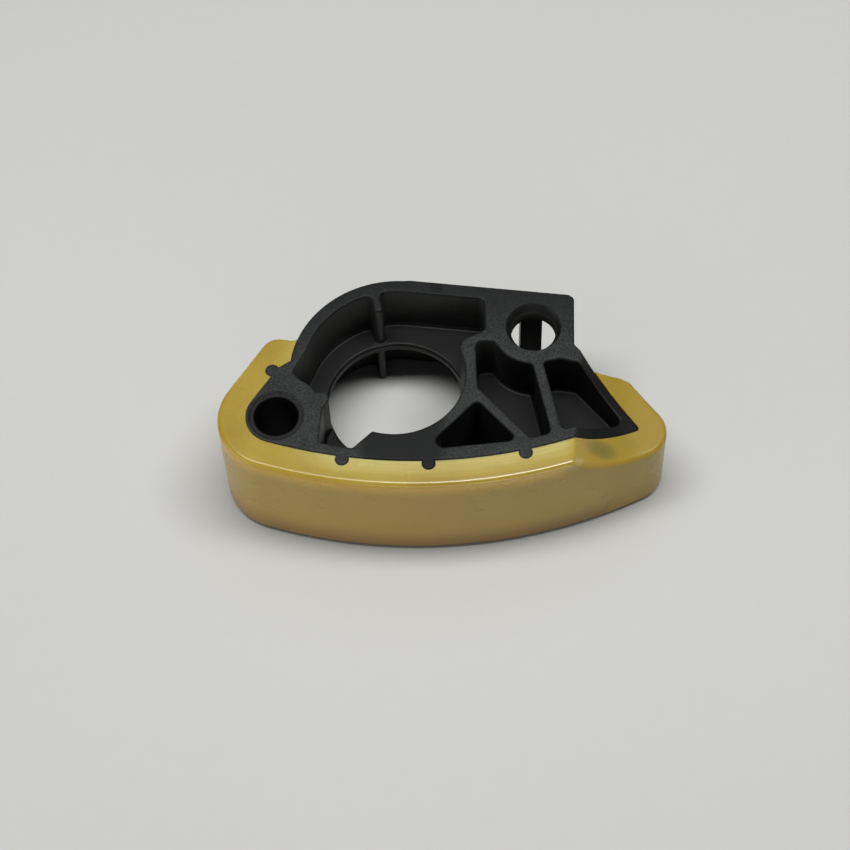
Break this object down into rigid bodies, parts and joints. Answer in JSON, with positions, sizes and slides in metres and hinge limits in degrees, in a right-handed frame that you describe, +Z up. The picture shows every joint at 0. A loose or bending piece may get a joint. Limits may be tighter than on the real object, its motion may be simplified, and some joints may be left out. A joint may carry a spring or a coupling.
{
  "type": "timing chain guide",
  "caption": "Curved slide guide for a timing chain: a ribbed black carrier with a shaft opening, a locating bore and a fixing boss, wrapped by a cream slide lining.",
  "frame": {"origin": "axis of the locating bore, in the plane of the bottom face", "axes": "+X along the chord of the chain track towards the nose, +Y away from the chain, +Z up along the bores"},
  "size_m": [0.0914, 0.0493, 0.027],
  "materials": {
    "carrier_nylon": "satin black glass-filled nylon with a fine grain",
    "lining_nylon": "waxy translucent cream nylon"
  },
  "bodies": {
    "root": {"carrier": "carrier_nylon", "slide_lining": "lining_nylon"}
  },
  "joints": []
}
